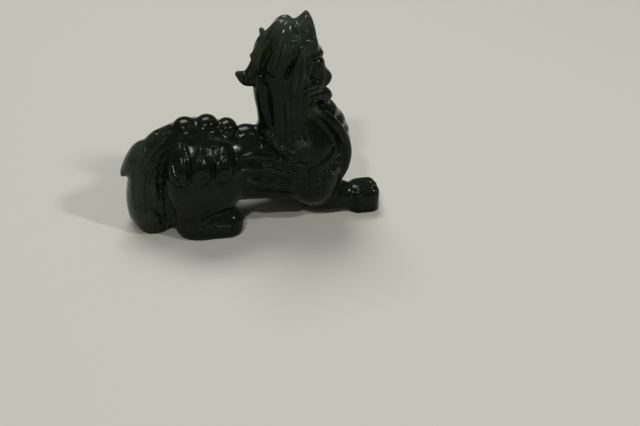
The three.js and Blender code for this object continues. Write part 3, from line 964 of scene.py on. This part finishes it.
# %% Horn and jaw lines
horn_grooves = [
    [(13.6, 100), (12, 95), (10.4, 89), (7.8, 82)],
    [(16.6, 100), (16, 94.6), (14.6, 89), (11.8, 82)],
]
cut_sides("horn_lines", horn_grooves, [0.5, 0.9, 0.9, 0.5], -0.6)
horn_bend, horn_top = 0.01, 98
notches = []
for z in np.arange(83, 99, 2.2):
    x = 17.4 - horn_bend * (horn_top - z) ** 2
    notches.append([(x, z), (x + 1.6, z + 0.9)])
cut_sides("horn_notches", notches, [0.5, 0.8], -0.6)
horn_edge = [(8.8, 98.6), (7.4, 93), (5.8, 86.6), (3.8, 81)]
cut_sides("horn_edge", [horn_edge], [0.8, 1.8, 1.8, 1], -1.4)
jaw_line = [(33, 84.6), (34.4, 80), (36.8, 74.6), (35, 71.4)]
cut_sides("jaw_lines", shifted(jaw_line, (0, -1.3)), [0.4, 0.7, 0.7, 0.4], -0.7)

# %% [markdown]
# A last light sanding takes the chisel's marks off, and the number of faces is brought down to
# what a shared library can carry.

# %% Last sanding and face count
most_triangles = 190000
last_sanding = carving.modifiers.new("last sanding", "SMOOTH")
last_sanding.factor, last_sanding.iterations = 0.3, 1
fewer = carving.modifiers.new("face count", "DECIMATE")
fewer.ratio = min(1.0, most_triangles / (2 * len(faces)))
print("kept share of the faces", round(fewer.ratio, 3))

# %% [markdown]
# Jade lets a little light through where it is thin. Light inside the stone could be traced, which
# is slow and is lost in an export. So a last node tree looks from each place on the skin into the
# stone, and keeps how thin it is there as an attribute, from which the material paints that light
# as a lighter glow.

# %% How thin the stone is
skin_gap, blur_passes, see_through = 0.0004, 12, 7


def thickness_tree(name):
    """The tree: the attribute is 1 where the stone has no thickness and 0 beyond the depth."""
    tree, entry = new_tree(
        name, {"Stone": "Geometry", "Depth": "Float", "Finish": "Material"}, {"Stone": "Geometry"})
    here = add(tree, "GeometryNodeInputPosition").outputs[0]
    normal = add(tree, "GeometryNodeInputNormal").outputs[0]
    inward = vector_step(tree, "MULTIPLY", normal, (-1, -1, -1))
    just_in = vector_step(tree, "MULTIPLY_ADD", inward, (skin_gap,) * 3, here)
    ray = add(tree, "GeometryNodeRaycast", {
        "Target Geometry": entry["Stone"], "Source Position": just_in, "Ray Direction": inward,
        "Ray Length": entry["Depth"]})
    share = step(tree, "DIVIDE", ray.outputs["Hit Distance"], entry["Depth"])
    thin = step(tree, "MULTIPLY", step(tree, "SUBTRACT", 1.0, share), ray.outputs["Is Hit"])
    soft = add(tree, "GeometryNodeBlurAttribute", {"Value": thin, "Iterations": blur_passes})
    kept = add(tree, "GeometryNodeStoreNamedAttribute",
               {"Geometry": entry["Stone"], "Name": "thin", "Value": soft.outputs[0]})
    close_tree(tree, kept.outputs[0], entry["Finish"])
    return tree


measure = carving.modifiers.new("how thin", "NODES")
measure.node_group = thickness_tree("how thin")
set_inputs(measure, {"Depth": see_through * MM, "Finish": jade})
print("light passes through", see_through, "mm at most")

# %% [markdown]
# The carved stone is now turned into one plain mesh, and the drawings are cleared away.

# %% Bake the carving
graph = bpy.context.evaluated_depsgraph_get()
baked = bpy.data.meshes.new_from_object(carving.evaluated_get(graph))
carving.modifiers.clear()
carving.data = baked
baked.name = "pixiu_carving_jade"
carving.name = "pixiu_carving_jade"
for drawing in drawings:
    bpy.data.objects.remove(drawing)
baked.shade_smooth()
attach(carving, "root")
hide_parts("pixiu_carving")
print("triangles", sum(len(p.vertices) - 2 for p in baked.polygons))

# %% [markdown]
# The stone is a very dark green, nearly black where it is thick. Clouds of two sizes drift in it,
# drawn out along the stone's bed. A picture could show them, but noise that is read at each place
# of the block has no seams. Both sizes use one node group.

# %% Clouds in the stone
broad_clouds, small_clouds = 26.0, 210.0


def cloud_group(name):
    """A node group: a cloud from 0 to 1, drawn out along the bed of the stone."""
    tree, entry = new_tree(
        name, {"Place": "Vector", "Size": "Float"}, {"Cloud": "Float"}, "ShaderNodeTree")
    bed = add(tree, "ShaderNodeMapping", {
        "Vector": entry["Place"], "Rotation": (0.3, 0.5, 0.2), "Scale": (1, 1.6, 2.4)}).outputs[0]
    noise = add(tree, "ShaderNodeTexNoise", {
        "Vector": bed, "Scale": entry["Size"], "Detail": 6.0, "Distortion": 1.2}).outputs["Fac"]
    add(tree, "NodeGroupOutput", {"Cloud": noise})
    return tree


jade.use_nodes = True
tree = jade.node_tree
place = add(tree, "ShaderNodeTexCoord").outputs["Object"]
clouds = cloud_group("stone clouds")
broad, small = (
    add(tree, "ShaderNodeGroup", {"Place": place, "Size": size}, node_tree=clouds).outputs[0]
    for size in (broad_clouds, small_clouds))
print("clouds", broad_clouds, "and", small_clouds, "to the metre")

# %% [markdown]
# The stone looks lighter towards the tail's outer edge, on the top of the head and wherever it is
# thin, and that light is painted into the colour: a painted sheen on the tail's edge and the head
# stands for reflected light, and a painted glow in thin places stands for light that passes through
# the stone. The material could be painted there by hand. Here two ramps over the place in the block,
# the small clouds and the attribute of thinness are added up to one tone.

# %% Painted sheen and glow
def ranged(value, low, high, to_low=0.0, to_high=1.0):
    """Turns one range of a value into another."""
    given = {"Value": value, "From Min": low, "From Max": high, "To Min": to_low, "To Max": to_high}
    return add(tree, "ShaderNodeMapRange", given).outputs[0]


tail_sheen_share, head_sheen_share, glow_through_share, cloud_share = 0.42, 0.34, 0.6, 0.35
darkest, lightest = 0.16, 0.85
thinness = add(tree, "ShaderNodeAttribute", attribute_name="thin").outputs["Fac"]
along = add(tree, "ShaderNodeSeparateXYZ", {"Vector": place}).outputs
# Painted sheen: a lighter tone that stands for reflected light, towards the tail's outer edge and on the
# top of the head, patched by the broad clouds.
tail_sheen = ranged(along["X"], -44 * MM, -64 * MM, 0.0, tail_sheen_share)
head_sheen = ranged(along["Z"], 86 * MM, 106 * MM, 0.0, head_sheen_share)
painted_sheen = step(tree, "MULTIPLY", step(tree, "ADD", tail_sheen, head_sheen), step(tree, "ADD", broad, 0.5))
# Painted glow: thin places get lighter, standing for light that passes through the stone. The small clouds
# add the stone's own real tone.
glow_and_clouds = step(tree, "ADD", step(tree, "MULTIPLY", thinness, glow_through_share),
           step(tree, "MULTIPLY", small, cloud_share))
tone = ranged(step(tree, "ADD", glow_and_clouds, painted_sheen), darkest, lightest)
print("tones from", darkest, "to", lightest)

# %% [markdown]
# The polish is like wax: glossy, but with slightly soft and uneven reflections from handling. The
# colour, the roughness and a very slight bump vary over the stone. What is the same all over is
# set on the shader itself.

# %% Polished jade
near_black = (0.0018, 0.0024, 0.0018, 1)
dark_green = (0.006, 0.0085, 0.004, 1)
lit_green = (0.04, 0.056, 0.03, 1)


def blended(share, low, high):
    """A colour between two others, which stand in the node's inputs 6 and 7."""
    return add(tree, "ShaderNodeMix", {"Factor": share, 6: low, 7: high}, data_type="RGBA").outputs[2]


shader = tree.nodes["Principled BSDF"]
# Where the painted sheen and the painted glow raise the tone, the colour goes towards lit_green, so light
# is painted there. The small clouds reach it too, as the stone's own tone.
colour = blended(tone, blended(broad, near_black, dark_green), lit_green)
wear = add(tree, "ShaderNodeBump", {"Height": small, "Strength": 0.15, "Distance": 0.0008})
tree.links.new(colour, shader.inputs["Base Color"])
tree.links.new(ranged(small, 0.3, 0.75, 0.1, 0.24), shader.inputs["Roughness"])
tree.links.new(wear.outputs[0], shader.inputs["Normal"])
shader.inputs["IOR"].default_value = 1.5
shader.inputs["Specular IOR Level"].default_value = 0.15
print("material", jade.name)

# %% [markdown]
# The studio is a wide pale floor. One large face is enough, because only the carving's shadow
# falls on it.

# %% Floor
floor_half = 3.0
corners = [(-1, -1), (1, -1), (1, 1), (-1, 1)]
floor_mesh = bpy.data.meshes.new("pale_floor")
floor_mesh.from_pydata([(x * floor_half, y * floor_half, 0) for x, y in corners], [], [(0, 1, 2, 3)])
floor = placed("pale_floor", floor_mesh)
paper = bpy.data.materials.new("pale_paper")
paper.use_nodes = True
matt = paper.node_tree.nodes["Principled BSDF"].inputs
matt["Base Color"].default_value = (0.47, 0.463, 0.405, 1)
matt["Roughness"].default_value = 0.9
floor_mesh.materials.append(paper)
print("floor", 2 * floor_half, "m wide")

# %% [markdown]
# The light is that of a room: a dim glow from all round, a large soft lamp above and behind, and
# small ones that make the polish shine in a few crisp spots.

# %% Light
world = bpy.data.worlds.new("soft_room")
world.use_nodes = True
glow = world.node_tree.nodes["Background"].inputs
glow["Color"].default_value = (0.9, 0.93, 1, 1)
glow["Strength"].default_value = 0.12
bpy.context.scene.world = world
bpy.context.scene.view_settings.view_transform = "Standard"
aim_height = 0.05


def direction(turn, rise):
    """Away from the carving: turn 0 faces its right side and grows towards its head."""
    return Vector((math.sin(turn) * math.cos(rise), -math.cos(turn) * math.cos(rise), math.sin(rise)))


def lamp(title, azimuth, elevation, distance, size, power):
    """A soft lamp turned to the carving."""
    away = direction(math.radians(azimuth), math.radians(elevation))
    data = bpy.data.lights.new(title, "AREA")
    data.shape, data.energy = "RECTANGLE", power
    data.size, data.size_y = size
    made = placed(title, data)
    made.location = away * distance + Vector((0, 0, aim_height))
    made.rotation_mode = "QUATERNION"
    made.rotation_quaternion = (-away).to_track_quat("-Z", "Y")


lamp("ceiling", -170, 62, 1.5, (0.9, 0.6), 17)
lamp("room_lamp", -30, 52, 1.2, (0.08, 0.04), 4)
lamp("window", 60, 45, 1.3, (0.06, 0.14), 6)
lamp("low_strip", -5, 6, 1.3, (0.7, 0.02), 1)

# %% [markdown]
# The camera stands above the beast's right side, tilted down and a little to one side. Its own
# three axes are worked out from these angles. That is safer than Euler angles, whose order is
# easy to mix up.

# %% Camera
turn, tilt, lean = (math.radians(v) for v in (-12.4, 36.95, 1.95))
stand = Vector((-51.3, -393.0, 296.1)) * MM
back = direction(turn, tilt)
level = Vector((math.cos(turn), math.sin(turn), 0))
up = back.cross(level)
right_way = level * math.cos(lean) + up * math.sin(lean)
up_way = up * math.cos(lean) - level * math.sin(lean)
camera_data = bpy.data.cameras.new("photo_camera")
camera_data.sensor_width, camera_data.lens = 36, 54.11
camera_data.clip_start, camera_data.clip_end = 0.01, 20
camera = placed("photo_camera", camera_data)
turned = Matrix((right_way, up_way, back)).transposed().to_4x4()
camera.matrix_world = Matrix.Translation(stand) @ turned
bpy.context.scene.camera = camera
print("camera stands", round(stand.length * 1000), "mm away")
